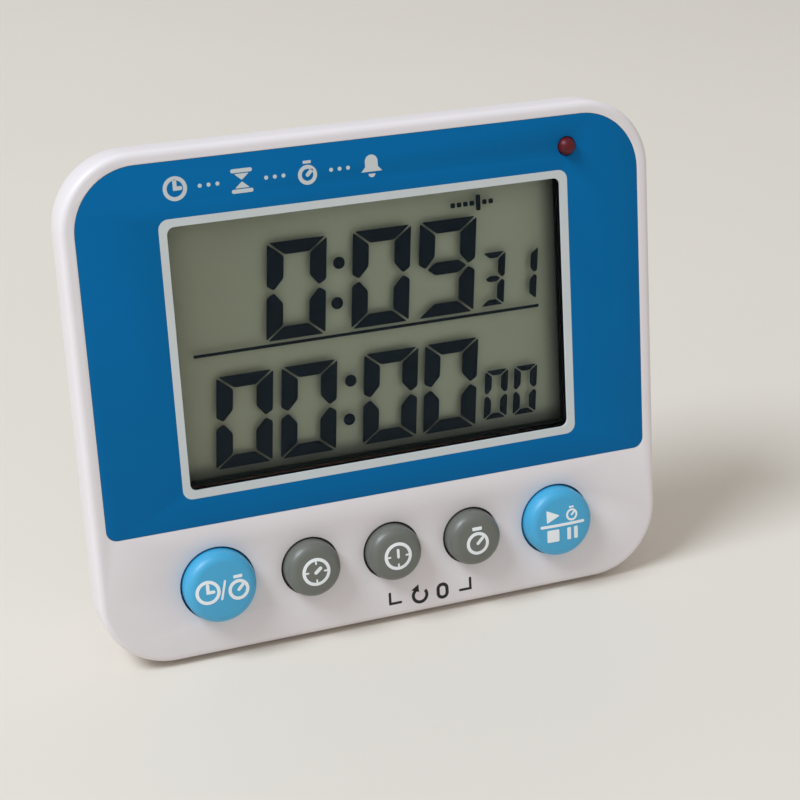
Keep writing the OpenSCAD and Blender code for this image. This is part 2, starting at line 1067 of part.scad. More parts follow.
module contact_tail() {
    block([-bay_half - bay_wall - tail_len, -tail_w / 2, -tail_depth - contact_t / 2],
        [-bay_half + contact_t, tail_w / 2, -tail_depth + contact_t / 2]);
}

module negative_contact() {
    centre = bay_y + cell_pitch / 2;
    color("silver")
        stood_up()
            contact(centre - contact_w / 2, centre + contact_w / 2)
                contact_tail();
}

module positive_contact() {
    centre = bay_y - cell_pitch / 2;
    color("silver")
        stood_up()
            contact(centre - contact_w / 2, centre + contact_w / 2)
                contact_tail();
}

module link_contact() {
    reach = (cell_pitch + contact_w) / 2;
    color("silver")
        stood_up()
            mirror([1, 0, 0])
                contact(bay_y - reach, bay_y + reach);
}

// A tapering compression spring for the flat end of each cell
module battery_springs() {
    turns = 3;
    steps = 16;
    wide_r = 3.8;
    narrow_r = 2.4;
    start = bay_half - contact_t - spring_wire - contact_gap;
    end = bay_half - contact_t - contact_gap - aaa_len;
    length = start + end - spring_wire - contact_gap;
    color("silver")
        stood_up()
            for (side = [-1, 1])
                mirror([side > 0 ? 1 : 0, 0, 0])
                    translate([0, bay_y + side * cell_pitch / 2, -cell_depth])
                        wire([for (i = [0 : turns * steps])
                            let (
                                t = i / (turns * steps),
                                a = 360 * i / steps,
                                r = wide_r + (narrow_r - wide_r) * t
                            )
                            [start - length * t, r * cos(a), r * sin(a)]],
                            spring_wire, [1, 0, 0]);
}

// ---- Stand, magnets, screws and switch

// Stand drawn folded flat, then swung out about its hinge
module stand() {
    color("white")
        stood_up()
            translate([0, hinge_y, -hinge_depth])
                rotate([-stand_open, 0, 0])
                    stand_leaf();
}

module stand_leaf() {
    difference() {
        union() {
            translate([-stand_w / 2, 0, 0])
                rotate([90, 0, 90])
                    linear_extrude(stand_w) {
                        translate([0, -foot_r])
                            square([stand_reach, stand_t]);
                        circle(foot_r);
                        translate([stand_reach, 0])
                            circle(foot_r);
                    }
            rotate([0, 90, 0])
                cylinder(r = hinge_pin_r, h = stand_w + 2 * hinge_pin_len, center = true);
        }
        // Shallow panel in the outer side, and a notch for a fingertip
        block([-stand_w / 2 + stand_rim, stand_rim, -foot_r - cut],
            [stand_w / 2 - stand_rim, stand_reach - stand_end, -foot_r + stand_dish]);
        translate([0, stand_reach + foot_r + notch_offset, 0])
            cylinder(r = 6, h = 2 * stand_t, center = true);
    }
}

module magnets() {
    color("silver")
        stood_up()
            for (x = [-magnet_x, magnet_x])
                translate([x, magnet_y, 0])
                    layer(body_d - magnet_t + magnet_proud, body_d + magnet_proud)
                        circle(magnet_r);
}

// Screw with its head at the back and a cross recess, seated at a depth
module screw(seat, r, len, head_r, head_h) {
    difference() {
        union() {
            layer(seat - len, seat)
                circle(r);
            layer(seat, seat + head_h)
                circle(head_r);
        }
        layer(seat + head_h - drive_depth, seat + head_h + cut) {
            square([drive_w, drive_span * head_r], center = true);
            square([drive_span * head_r, drive_w], center = true);
        }
    }
}

module case_screws() {
    color("silver")
        stood_up()
            at_case_screws()
                screw(case_seat, case_screw_r, case_screw_len, case_head_r, case_head_h);
}

module board_screws() {
    color("silver")
        stood_up()
            at_board_screws()
                screw(board_back, board_screw_r, board_t + board_screw_grip,
                    board_head_r, board_head_h);
}

// Slide switch on the board that picks sound, light or both
module switch_body() {
    color("silver")
        stood_up()
            translate([switch_x, switch_y, 0])
                difference() {
                    block([-switch_half_w, -switch_half_h, -board_back - switch_body_d],
                        [switch_half_w, switch_half_h, -board_back]);
                    block([-lever_half - lever_gap[0], -lever_half - switch_travel - lever_gap[1],
                            -board_back - switch_body_d - cut],
                        [lever_half + lever_gap[0], lever_half + switch_travel + lever_gap[1],
                            -board_back - lever_well]);
                }
}

module switch_lever() {
    color("black")
        stood_up()
            translate([switch_x, switch_y, 0])
                block([-lever_half, -lever_half, -board_back - lever_reach],
                    [lever_half, lever_half, -board_back - lever_foot]);
}

// Knob in the rear wall, with a guide plate and a fork round the lever
module switch_knob() {
    plate_back = rear_inside - plate_gap;
    plate_front = plate_back - 1;
    fork_front = board_back + switch_body_d + plate_gap;
    color("black")
        stood_up()
            translate([switch_x, switch_y, 0]) {
                layer(plate_back - cut, body_d - knob_sink)
                    difference() {
                        square([knob_w, knob_h], center = true);
                        for (y = [-knob_groove_step, 0, knob_groove_step])
                            translate([0, y])
                                square([knob_w - 1, knob_groove_w], center = true);
                    }
                layer(plate_front, plate_back)
                    square([knob_w + plate_over[0], knob_h + 4 * switch_travel + plate_over[1]],
                        center = true);
                layer(fork_front, plate_front + cut)
                    difference() {
                        square(fork_size, center = true);
                        square(2 * (lever_half + fork_gap), center = true);
                    }
            }
}

front_housing();
rear_housing();
face_panel();
display_window();
display_gasket();
lcd_front_glass();
lcd_rear_glass();
lcd_reflector();
lcd_pads();
zebra_strip();
circuit_board();
chip_blob();
timing_crystal();
board_components();
alarm_led();
led_leads();
piezo_plate();
piezo_ceramic();
buzzer_wires();
battery_wires();
keypad_mat();
mode_button();
hour_button();
minute_button();
second_button();
start_stop_button();
mode_plunger();
hour_plunger();
minute_plunger();
second_plunger();
start_stop_plunger();
mode_pill();
hour_pill();
minute_pill();
second_pill();
start_stop_pill();
battery_cell_upper();
battery_cell_lower();
negative_contact();
positive_contact();
link_contact();
battery_springs();
battery_door();
stand();
magnets();
case_screws();
board_screws();
switch_body();
switch_lever();
switch_knob();
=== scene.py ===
"""A digital bench timer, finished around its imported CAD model.

Flat work is drawn in the face frame: x runs across the face, v up it from the bottom edge of the
case, and h out of it towards the reader. FACE turns that frame into the standing timer's.
"""

import json
import math

import bmesh
import bpy
from mathutils import Matrix, Vector, noise
from mathutils.geometry import tessellate_polygon

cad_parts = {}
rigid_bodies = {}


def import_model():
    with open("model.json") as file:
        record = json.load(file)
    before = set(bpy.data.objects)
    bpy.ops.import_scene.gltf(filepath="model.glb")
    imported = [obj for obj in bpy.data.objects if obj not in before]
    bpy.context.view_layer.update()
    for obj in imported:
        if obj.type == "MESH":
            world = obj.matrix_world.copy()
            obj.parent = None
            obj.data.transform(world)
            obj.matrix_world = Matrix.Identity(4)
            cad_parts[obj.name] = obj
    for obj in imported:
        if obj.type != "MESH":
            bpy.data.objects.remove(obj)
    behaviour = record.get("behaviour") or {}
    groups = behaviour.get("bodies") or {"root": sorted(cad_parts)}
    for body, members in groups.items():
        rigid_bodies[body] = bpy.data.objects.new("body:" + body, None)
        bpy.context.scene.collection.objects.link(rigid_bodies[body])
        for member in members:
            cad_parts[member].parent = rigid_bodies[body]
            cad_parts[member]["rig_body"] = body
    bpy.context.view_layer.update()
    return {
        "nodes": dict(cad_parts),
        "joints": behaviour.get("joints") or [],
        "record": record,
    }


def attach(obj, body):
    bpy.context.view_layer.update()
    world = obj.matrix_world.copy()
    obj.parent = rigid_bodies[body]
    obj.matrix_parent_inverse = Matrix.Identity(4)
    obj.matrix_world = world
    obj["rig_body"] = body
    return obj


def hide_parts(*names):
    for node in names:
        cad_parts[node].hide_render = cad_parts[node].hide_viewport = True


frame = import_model()

MM = 0.001
NODES = frame["nodes"]
JOINTS = {joint["name"]: joint for joint in frame["joints"]}
slot_of = {part["node"]: part["material_slot"] for part in frame["record"]["subparts"]}

# ---- The face frame, from the buttons' axis and the front shell

ACROSS = Vector((1, 0, 0))
INTO = Vector(JOINTS["mode_press"]["axis"]).normalized()
UP = ACROSS.cross(INTO)
OUT = -INTO


def extent(node, direction):
    """Least and greatest distance of a node's vertices along a direction"""
    along = [vertex.co.dot(direction) for vertex in NODES[node].data.vertices]
    return min(along), max(along)


BOTTOM = extent("front_housing", UP)[0]
FRONT = extent("front_housing", OUT)[1]
FACE = Matrix.Translation(UP * BOTTOM + OUT * FRONT) @ Matrix((ACROSS, UP, OUT)).transposed().to_4x4()


class Box:
    """A node's box in the face frame"""

    def __init__(self, node):
        self.left, self.right = extent(node, ACROSS)
        self.low, self.high = (value - BOTTOM for value in extent(node, UP))
        self.back, self.front = (value - FRONT for value in extent(node, OUT))
        self.x = (self.left + self.right) / 2
        self.v = (self.low + self.high) / 2
        self.w = self.right - self.left
        self.h = self.high - self.low


# ---- Outlines: lists of (x, y) in millimetres


def arc(cx, cy, r, start, end, steps):
    """Points along an arc, with angles in degrees"""
    angles = [math.radians(start + (end - start) * i / steps) for i in range(steps + 1)]
    return [(cx + r * math.cos(a), cy + r * math.sin(a)) for a in angles]


def disc(cx, cy, r, steps=40):
    return [arc(cx, cy, r, 0, 360, steps)[:-1]]


def ring(cx, cy, r, width, steps=56):
    return [arc(cx, cy, r, 0, 360, steps)[:-1], arc(cx, cy, r - width, 0, 360, steps)[:-1]]


def band(cx, cy, r, width, start, end, steps=28):
    """Part of a ring"""
    outer = arc(cx, cy, r, start, end, steps)
    return [outer + arc(cx, cy, r - width, end, start, steps)]


def round_rect(left, low, right, high, r, steps=6):
    corners = (
        (right - r, high - r, 0), (left + r, high - r, 90), (left + r, low + r, 180), (right - r, low + r, 270),
    )
    return [p for x, y, a in corners for p in arc(x, y, r, a, a + 90, steps)]


def stroke(points, width, steps=6):
    """A line of one width through points, with round ends"""
    half = width / 2
    path = [Vector(p) for p in points]
    ways = [(b - a).normalized() for a, b in zip(path, path[1:])]
    sides = [Vector((-way.y, way.x)) for way in ways]
    joins = [sides[0]] + [(a + b) / (1 + a.dot(b)) for a, b in zip(sides, sides[1:])] + [sides[-1]]
    left = [tuple(p + j * half) for p, j in zip(path, joins)]
    right = [tuple(p - j * half) for p, j in zip(path, joins)]
    end = math.degrees(math.atan2(sides[-1].y, sides[-1].x))
    start = math.degrees(math.atan2(sides[0].y, sides[0].x))
    far = arc(*path[-1], half, end, end - 180, steps)[1:-1]
    near = arc(*path[0], half, start + 180, start, steps)[1:-1]
    return [left + far + right[::-1] + near]


def inset(points, by):
    """A convex outline, drawn counter-clockwise, moved inwards"""
    path = [Vector(p) for p in points]
    count = len(path)
    sides = []
    for i in range(count):
        way = (path[(i + 1) % count] - path[i]).normalized()
        sides.append(Vector((-way.y, way.x)))
    return [path[i] + (sides[i - 1] + sides[i]) * by / (1 + sides[i - 1].dot(sides[i])) for i in range(count)]


def softened(points, r, steps=3):
    """An outline with each corner cut to a small curve"""
    path = [Vector(p) for p in points]
    result = []
    for i, corner in enumerate(path):
        before, after = path[i - 1] - corner, path[(i + 1) % len(path)] - corner
        reach = min(r, before.length * 0.45, after.length * 0.45)
        a, b = corner + before.normalized() * reach, corner + after.normalized() * reach
        for k in range(steps + 1):
            t = k / steps
            result.append(tuple(a * (1 - t) ** 2 + corner * 2 * t * (1 - t) + b * t * t))
    return result


def placed(shapes, dx, dy, turn=0, size=1):
    """Shapes turned, scaled and moved"""
    c, s = math.cos(math.radians(turn)) * size, math.sin(math.radians(turn)) * size
    return [[[(dx + c * x - s * y, dy + s * x + c * y) for x, y in loop] for loop in shape] for shape in shapes]


# ---- Meshes


def finish_mesh(name, bm, body, material, smooth_angle=35):
    """Turns a bmesh in the standing frame into a piece that rides on a body"""
    bmesh.ops.recalc_face_normals(bm, faces=bm.faces)
    mesh = bpy.data.meshes.new(name)
    bm.to_mesh(mesh)
    bm.free()
    mesh.shade_smooth()
    mesh.set_sharp_from_angle(angle=math.radians(smooth_angle))
    piece = bpy.data.objects.new(name, mesh)
    bpy.context.scene.collection.objects.link(piece)
    piece.data.materials.append(material)
    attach(piece, body)
    return piece


def extrude(bm, loops, low, high):
    """Adds a closed solid from an outline and its holes, between two heights"""
    flat = [[Vector((x, y, 0)) for x, y in loop] for loop in loops]
    points = [p for loop in flat for p in loop]
    top = [bm.verts.new((p.x, p.y, high)) for p in points]
    bottom = [bm.verts.new((p.x, p.y, low)) for p in points]
    for a, b, c in tessellate_polygon(flat):
        bm.faces.new((top[a], top[b], top[c]))
        bm.faces.new((bottom[c], bottom[b], bottom[a]))
    first = 0
    for loop in loops:
        for i in range(len(loop)):
            a, b = first + i, first + (i + 1) % len(loop)
            bm.faces.new((top[a], bottom[a], bottom[b], top[b]))
        first += len(loop)


def refine(bm, step):
    """Splits long edges, so that flat work can follow a dome"""
    for _ in range(6):
        long_edges = [edge for edge in bm.edges if edge.calc_length() > step]
        if not long_edges:
            return
        bmesh.ops.subdivide_edges(bm, edges=long_edges, cuts=1)
        bmesh.ops.triangulate(bm, faces=[face for face in bm.faces if len(face.verts) > 3])


def print_piece(name, shapes, low, high, body, material, dome=None):
    """Flat printed or etched work, a thin solid in the face frame; dome gives the height under it"""
    bm = bmesh.new()
    for loops in shapes:
        extrude(bm, loops, low, high)
    if dome:
        refine(bm, 0.5)
        for vertex in bm.verts:
            vertex.co.z += dome(vertex.co.x, vertex.co.y)
    bmesh.ops.transform(bm, matrix=FACE @ Matrix.Scale(MM, 4), verts=bm.verts)
    return finish_mesh(name, bm, body, material)


def finished_copy(node, material, edge=0.15, sharp=32):
    """A copy of a CAD node with its sharp edges rounded, which stands for the node"""
    source = NODES[node]
    bm = bmesh.new()
    bm.from_mesh(source.data)
    bmesh.ops.remove_doubles(bm, verts=bm.verts, dist=0.001 * MM)
    bmesh.ops.dissolve_limit(bm, angle_limit=math.radians(0.3), verts=bm.verts, edges=bm.edges)
    angle = math.radians(sharp)
    edges = [e for e in bm.edges if e.is_manifold and e.calc_face_angle() > angle]
    bmesh.ops.bevel(
        bm, geom=edges, offset=edge * MM, offset_type="OFFSET", segments=3, profile=0.5,
        affect="EDGES", clamp_overlap=True,
    )
    bmesh.ops.remove_doubles(bm, verts=bm.verts, dist=0.001 * MM)
    piece = finish_mesh(node + "_finished", bm, source["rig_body"], material)
    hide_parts(node)
    return piece


# ---- Materials


def rgb(r, g, b):
    """Linear colour from the usual 0 to 255 values"""
    return tuple(((c / 255 + 0.055) / 1.055) ** 2.4 if c > 10 else c / 3294.6 for c in (r, g, b)) + (1,)


def new_material(name):
    material = bpy.data.materials.new(name)
    material.use_nodes = True
    tree = material.node_tree
    return material, tree, tree.nodes["Principled BSDF"]


def grain(tree, scale, detail=2, stretch=(1, 1, 1)):
    """Noise in the object's own space; scale is in features per metre"""
    place = tree.nodes.new("ShaderNodeTexCoord")
    mapping = tree.nodes.new("ShaderNodeMapping")
    mapping.inputs["Scale"].default_value = stretch
    texture = tree.nodes.new("ShaderNodeTexNoise")
    texture.inputs["Scale"].default_value = scale
    texture.inputs["Detail"].default_value = detail
    tree.links.new(place.outputs["Object"], mapping.inputs["Vector"])
    tree.links.new(mapping.outputs["Vector"], texture.inputs["Vector"])
    return texture.outputs["Fac"]


def spread(tree, value, low, high):
    """Stretches a noise value to a range"""
    node = tree.nodes.new("ShaderNodeMapRange")
    node.inputs["From Min"].default_value = 0.3
    node.inputs["From Max"].default_value = 0.7
    node.inputs["To Min"].default_value = low
    node.inputs["To Max"].default_value = high
    tree.links.new(value, node.inputs["Value"])
    return node.outputs["Result"]


def between(tree, value, first, second):
    """Colour between two colours"""
    node = tree.nodes.new("ShaderNodeMix")
    node.data_type = "RGBA"
    node.inputs["A"].default_value = first
    node.inputs["B"].default_value = second
    tree.links.new(value, node.inputs["Factor"])
    return node.outputs["Result"]


def emboss(tree, shader, value, depth):
    """Bump of a depth in metres"""
    node = tree.nodes.new("ShaderNodeBump")
    node.inputs["Strength"].default_value = 1
    node.inputs["Distance"].default_value = depth
    tree.links.new(value, node.inputs["Height"])
    tree.links.new(node.outputs["Normal"], shader.inputs["Normal"])


def shade(colour, by):
    return tuple(c * by for c in colour[:3]) + (1,)


def surface(
    name, colour, rough, vary=0.04, cloud=90, texture=5000, depth=3e-6, swing=0.05, stretch=(1, 1, 1), **sockets
):
    """A solid material: clouded colour, uneven gloss and a fine surface texture"""
    material, tree, shader = new_material(name)
    clouds = spread(tree, grain(tree, cloud, 3), 0, 1)
    clouded = between(tree, clouds, shade(colour, 1 - vary), shade(colour, 1 + vary))
    tree.links.new(clouded, shader.inputs["Base Color"])
    fine = grain(tree, texture, 3, stretch)
    tree.links.new(spread(tree, fine, rough - swing, rough + swing), shader.inputs["Roughness"])
    emboss(tree, shader, fine, depth)
    for socket, value in sockets.items():
        shader.inputs[socket.replace("_", " ")].default_value = value
    return material


def clear(name, tint, ior, rough):
    """Clear sheet: what is behind it shows, with a reflection that grows at grazing angles"""
    material, tree, shader = new_material(name)
    shader.inputs["Base Color"].default_value = (0.9, 0.92, 0.93, 1)
    fine = grain(tree, 900, 3)
    tree.links.new(spread(tree, fine, rough, rough + 0.04), shader.inputs["Roughness"])
    through = tree.nodes.new("ShaderNodeBsdfTransparent")
    through.inputs["Color"].default_value = tint
    fresnel = tree.nodes.new("ShaderNodeFresnel")
    fresnel.inputs["IOR"].default_value = ior
    glossy = tree.nodes.new("ShaderNodeBsdfGlossy")
    glossy.inputs["Color"].default_value = (1, 1, 1, 1)
    tree.links.new(spread(tree, fine, rough, rough + 0.04), glossy.inputs["Roughness"])
    mix = tree.nodes.new("ShaderNodeMixShader")
    tree.links.new(fresnel.outputs["Fac"], mix.inputs[0])
    tree.links.new(through.outputs["BSDF"], mix.inputs[1])
    tree.links.new(glossy.outputs["BSDF"], mix.inputs[2])
    tree.links.new(mix.outputs["Shader"], tree.nodes["Material Output"].inputs["Surface"])
    tree.nodes.remove(shader)
    return material


case_white = surface("case_white", (0.82, 0.77, 0.785, 1), 0.42, vary=0.012, texture=4200, depth=4e-6)
panel_blue = surface(
    "panel_blue", (0.001, 0.143, 0.378, 1), 0.42, vary=0.03, cloud=40, texture=9000, depth=1.5e-6,
    Specular_IOR_Level=0.07,
)
print_silver = surface("print_silver", rgb(205, 211, 212), 0.5, vary=0.03, texture=7000)
print_white = surface("print_white", rgb(244, 248, 250), 0.55, vary=0.02, texture=7000)
print_black = surface("print_black", rgb(14, 14, 16), 0.5, vary=0.1, texture=7000)
cap_blue = surface("cap_blue", rgb(60, 168, 214), 0.46, vary=0.03, texture=4600, Specular_IOR_Level=0.75)
cap_grey = surface("cap_grey", rgb(103, 105, 98), 0.42, vary=0.04, texture=4600, Specular_IOR_Level=0.75)
window_clear = clear("window_clear", (0.985, 0.99, 0.99, 1), 1.13, 0.05)
display_glass = clear("display_glass", (0.965, 0.98, 0.975, 1), 1.05, 0.1)
display_grey = surface("display_grey", (0.385, 0.42, 0.315, 1), 0.5, cloud=35, texture=14000, depth=1e-6)
segment_ink = surface("segment_ink", rgb(10, 28, 40), 0.5, vary=0.1, texture=9000, Specular_IOR_Level=0.08)
mask_black = surface("mask_black", rgb(24, 32, 36), 0.6, vary=0.1, Specular_IOR_Level=0.1)
gasket_dark = surface(
    "gasket_dark", rgb(20, 24, 28), 0.85, vary=0.06, texture=2600, depth=4e-6, Specular_IOR_Level=0.1
)
foam_black = surface("foam_black", rgb(30, 30, 31), 0.95, vary=0.2, texture=1800, depth=8e-5)
zebra_pink = surface(
    "zebra_pink", rgb(222, 150, 152), 0.6, vary=0.2, cloud=1, texture=3000, stretch=(6, 0.1, 0.1)
)
silicone_grey = surface("silicone_grey", rgb(190, 192, 196), 0.6, vary=0.03)
carbon_black = surface("carbon_black", rgb(18, 18, 18), 0.8, vary=0.15)
board_green = surface("board_green", rgb(24, 104, 56), 0.35, vary=0.12, cloud=260, texture=1500, depth=8e-6)
epoxy_black = surface("epoxy_black", rgb(12, 12, 14), 0.16, vary=0.1, texture=900, depth=2e-5)
component_tan = surface("component_tan", rgb(176, 140, 104), 0.5, vary=0.1)
ceramic_cream = surface("ceramic_cream", rgb(226, 214, 184), 0.7, vary=0.05)
bright_metal = surface("bright_metal", rgb(206, 208, 212), 0.24, vary=0.05, texture=2400, Metallic=1)
spring_steel = surface("spring_steel", rgb(196, 198, 202), 0.28, vary=0.06, texture=3000, Metallic=1)
screw_zinc = surface("screw_zinc", rgb(186, 188, 194), 0.34, vary=0.08, texture=2600, Metallic=1)
magnet_nickel = surface("magnet_nickel", rgb(190, 188, 184), 0.18, vary=0.05, texture=1600, Metallic=1)
brass = surface("brass", rgb(214, 176, 96), 0.32, vary=0.08, texture=1200, stretch=(1, 12, 12), Metallic=1)
lamp_red = surface("lamp_red", rgb(90, 8, 18), 0.42, vary=0.2, cloud=500, Specular_IOR_Level=0.35)
wire_red = surface("wire_red", rgb(196, 40, 40), 0.45)
wire_black = surface("wire_black", rgb(28, 28, 30), 0.45)
cell_jacket = surface("cell_jacket", rgb(72, 132, 78), 0.3, vary=0.05, Coat_Weight=0.5)
knob_black = surface("knob_black", rgb(30, 30, 32), 0.45, vary=0.08)


def banded_cell(node, nub_side):
    """A cell's material: bare metal ends, a gold shoulder, a thin white line and a green jacket"""
    cell = Box(node)
    first, last = (cell.left, cell.right) if nub_side > 0 else (-cell.right, -cell.left)
    material, tree, shader = new_material(node + "_paint")
    place = tree.nodes.new("ShaderNodeTexCoord")
    along = tree.nodes.new("ShaderNodeVectorMath")
    along.operation = "DOT_PRODUCT"
    along.inputs[1].default_value = ACROSS * nub_side
    share = tree.nodes.new("ShaderNodeMapRange")
    share.inputs["From Min"].default_value = first - 0.01 * MM
    share.inputs["From Max"].default_value = last + 0.01 * MM
    tree.links.new(place.outputs["Object"], along.inputs[0])
    tree.links.new(along.outputs["Value"], share.inputs["Value"])
    metal, jacket = (0.62, 0.62, 0.64, 1), rgb(40, 112, 74)
    white, gold = rgb(232, 234, 230), rgb(206, 160, 72)
    bare, plated, painted = (1, 1, 1, 1), (0.7, 0.7, 0.7, 1), (0, 0, 0, 1)
    for socket, stops in (
        ("Base Color", ((0, metal), (0.012, jacket), (0.72, white), (0.735, gold), (0.965, metal))),
        ("Metallic", ((0, bare), (0.012, painted), (0.735, plated), (0.965, bare))),
    ):
        ramp = tree.nodes.new("ShaderNodeValToRGB")
        ramp.color_ramp.interpolation = "CONSTANT"
        for i, (position, colour) in enumerate(stops):
            stop = ramp.color_ramp.elements[i] if i < 2 else ramp.color_ramp.elements.new(position)
            stop.position = position
            stop.color = colour
        tree.links.new(share.outputs["Result"], ramp.inputs["Fac"])
        tree.links.new(ramp.outputs["Color"], shader.inputs[socket])
    fine = grain(tree, 2600, 2)
    tree.links.new(spread(tree, fine, 0.24, 0.34), shader.inputs["Roughness"])
    emboss(tree, shader, fine, 3e-6)
    shader.inputs["Coat Weight"].default_value = 0.3
    return material


def paint_shade_along(material, direction, start, end, dark):
    """Paints shade into a material's colour: darkens it smoothly along a direction, between two distances from
    the origin
    """
    tree = material.node_tree
    socket = tree.nodes["Principled BSDF"].inputs["Base Color"]
    place = tree.nodes.new("ShaderNodeTexCoord")
    along = tree.nodes.new("ShaderNodeVectorMath")
    along.operation = "DOT_PRODUCT"
    along.inputs[1].default_value = direction
    ramp = tree.nodes.new("ShaderNodeMapRange")
    ramp.interpolation_type = "SMOOTHSTEP"
    ramp.inputs["From Min"].default_value = start
    ramp.inputs["From Max"].default_value = end
    blend = tree.nodes.new("ShaderNodeMix")
    blend.data_type = "RGBA"
    blend.blend_type = "MULTIPLY"
    blend.inputs["B"].default_value = dark
    tree.links.new(place.outputs["Object"], along.inputs[0])
    tree.links.new(along.outputs["Value"], ramp.inputs["Value"])
    tree.links.new(ramp.outputs["Result"], blend.inputs["Factor"])
    tree.links.new(socket.links[0].from_socket, blend.inputs["A"])
    tree.links.new(blend.outputs["Result"], socket)


# Painted shade on the display's reflector: the window frame's shadow, darker towards the right and bottom
# edges, and a faint warm painted shade towards the left edge
reflector = Box("lcd_reflector")
paint_shade_along(display_grey, ACROSS, reflector.right - 5.4 * MM, reflector.right - 1.4 * MM, (0.24, 0.27, 0.32, 1))
reflector_low = BOTTOM + reflector.low
paint_shade_along(display_grey, -UP, -(reflector_low + 3.2 * MM), -(reflector_low + 0.4 * MM), (0.35, 0.37, 0.4, 1))
paint_shade_along(display_grey, -ACROSS, -reflector.x, -reflector.left, (0.9, 0.84, 0.8, 1))

PAINT = {
    "case_white": case_white, "panel_blue": panel_blue, "window_clear": window_clear,
    "display_glass": display_glass, "display_grey": display_grey, "gasket_dark": gasket_dark,
    "foam_black": foam_black, "zebra_pink": zebra_pink, "cap_blue": cap_blue, "cap_grey": cap_grey,
    "silicone_grey": silicone_grey, "carbon_black": carbon_black, "board_green": board_green,
    "epoxy_black": epoxy_black, "component_tan": component_tan, "ceramic_cream": ceramic_cream,
    "bright_metal": bright_metal, "spring_steel": spring_steel, "screw_zinc": screw_zinc,
    "magnet_nickel": magnet_nickel, "brass": brass, "lamp_red": lamp_red, "wire_red": wire_red,
    "wire_black": wire_black, "cell_jacket": cell_jacket, "knob_black": knob_black,
}

for node, slot in slot_of.items():
    NODES[node].data.materials.clear()
    NODES[node].data.materials.append(PAINT[slot])
for node, nub_side in (("battery_cell_upper", 1), ("battery_cell_lower", -1)):
    NODES[node].data.materials[0] = banded_cell(node, nub_side)

# ---- Moulded parts with rounded edges

for node, material, edge in (
    ("front_housing", case_white, 0.15),
    ("rear_housing", case_white, 0.15),
    ("face_panel", panel_blue, 0.06),
    ("battery_door", case_white, 0.2),
    ("stand", case_white, 0.3),
    ("switch_knob", knob_black, 0.12),
    ("magnets", magnet_nickel, 0.15),
):
    finished_copy(node, material, edge)

# ---- Window: border, mask and the picture on the display

# Millimetres: how far the lens runs under the panel, the printed border's width and radii, and the ink
LENS_OVERLAP = 2.5
BORDER = 1.25
BORDER_R = 1.6
WINDOW_R = 1.2
PRINT_T = 0.02
EDGE_OVER, EDGE_IN = 0.01, 0.03

panel = Box("face_panel")
lens = Box("display_window")
window = {
    "left": lens.left / MM + LENS_OVERLAP,
    "right": lens.right / MM - LENS_OVERLAP,
    "low": lens.low / MM + LENS_OVERLAP,
    "high": lens.high / MM - LENS_OVERLAP,
}
middle = (window["low"] + window["high"]) / 2


def window_loop(grow, r):
    """The window's outline, made larger on every side"""
    low, high = window["low"] - grow, window["high"] + grow
    return round_rect(window["left"] - grow, low, window["right"] + grow, high, r)


border = [window_loop(BORDER, BORDER_R), window_loop(0, WINDOW_R)]
print_piece("window_border", [border], 0, PRINT_T, "case", print_silver)
liner = [window_loop(EDGE_OVER, WINDOW_R), window_loop(-EDGE_IN, WINDOW_R)]
print_piece("window_edge", [liner], panel.back / MM, PRINT_T / 2, "case", print_silver)

# The two plates become one stepped slab, so that the picture lies in the glass; the reflector closes its back
front_glass = Box("lcd_front_glass")
rear_glass = Box("lcd_rear_glass")
joint_h = rear_glass.front / MM
slab_back = rear_glass.back - 0.02 * MM
profile = [
    (front_glass.low, front_glass.front), (front_glass.low, rear_glass.front),
    (rear_glass.low, rear_glass.front), (rear_glass.low, slab_back),
    (rear_glass.high, slab_back), (rear_glass.high, front_glass.front),
]
slab = bmesh.new()
extrude(slab, [profile], front_glass.left, front_glass.right)
profile_to_face = Matrix(((0, 0, 1, 0), (1, 0, 0, 0), (0, 1, 0, 0), (0, 0, 0, 1)))
bmesh.ops.transform(slab, matrix=FACE @ profile_to_face, verts=slab.verts)
display_cell = finish_mesh("display_cell", slab, "case", display_glass)
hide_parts("lcd_front_glass", "lcd_rear_glass")

# The ink lies just in front of the joint between the plates, and the mask stops short of their edges
ink_low, ink_high = joint_h + 0.008, joint_h + 0.03
MASK_MARGIN = 1
mask_left, mask_right = front_glass.left / MM + MASK_MARGIN, front_glass.right / MM - MASK_MARGIN
mask_low, mask_high = rear_glass.low / MM + MASK_MARGIN, front_glass.high / MM - MASK_MARGIN
mask = [
    [(mask_left, mask_low), (mask_right, mask_low), (mask_right, mask_high), (mask_left, mask_high)],
    window_loop(0.1, WINDOW_R),
]
print_piece("display_mask", [mask], ink_low, ink_high, "case", mask_black)

# Digits lean to the right; each size is [width, height, upright stroke, level stroke, gap]
LEAN = math.tan(math.radians(4.9))
BIG_UPPER = (10.3, 16.2, 3.1, 2.45, 0.32)
BIG_LOWER = (9.8, 15.6, 3.1, 2.4, 0.32)
SMALL_UPPER = (4.45, 9.15, 1.5, 1.2, 0.22)
SMALL_LOWER = (4.45, 8.65, 1.5, 1.15, 0.22)
LIT = {"0": "abcdef", "1": "bc", "3": "abcdg", "9": "abcdfg"}


def segments(size):
    """The seven segments of a digit, counter-clockwise, touching each other"""
    w, h, tv, th, _ = size
    mid, tip, notch, shoulder = h / 2, 0.45 * tv, 0.35 * th, 0.8 * th
    right = [(w, h), (w - tv, h - th), (w - tv, mid + shoulder), (w - tip, mid), (w, mid + notch)]
    return {
        "a": [(0, h), (tv, h - th), (w - tv, h - th), (w, h)],
        "b": right,
        "c": [(x, h - y) for x, y in right[::-1]],
        "d": [(tv, th), (0, 0), (w, 0), (w - tv, th)],
        "e": [(w - x, h - y) for x, y in right],
        "f": [(w - x, y) for x, y in right[::-1]],
        "g": [
            (tip, mid), (tv, mid - th / 2), (w - tv, mid - th / 2),
            (w - tip, mid), (w - tv, mid + th / 2), (tv, mid + th / 2),
        ],
    }


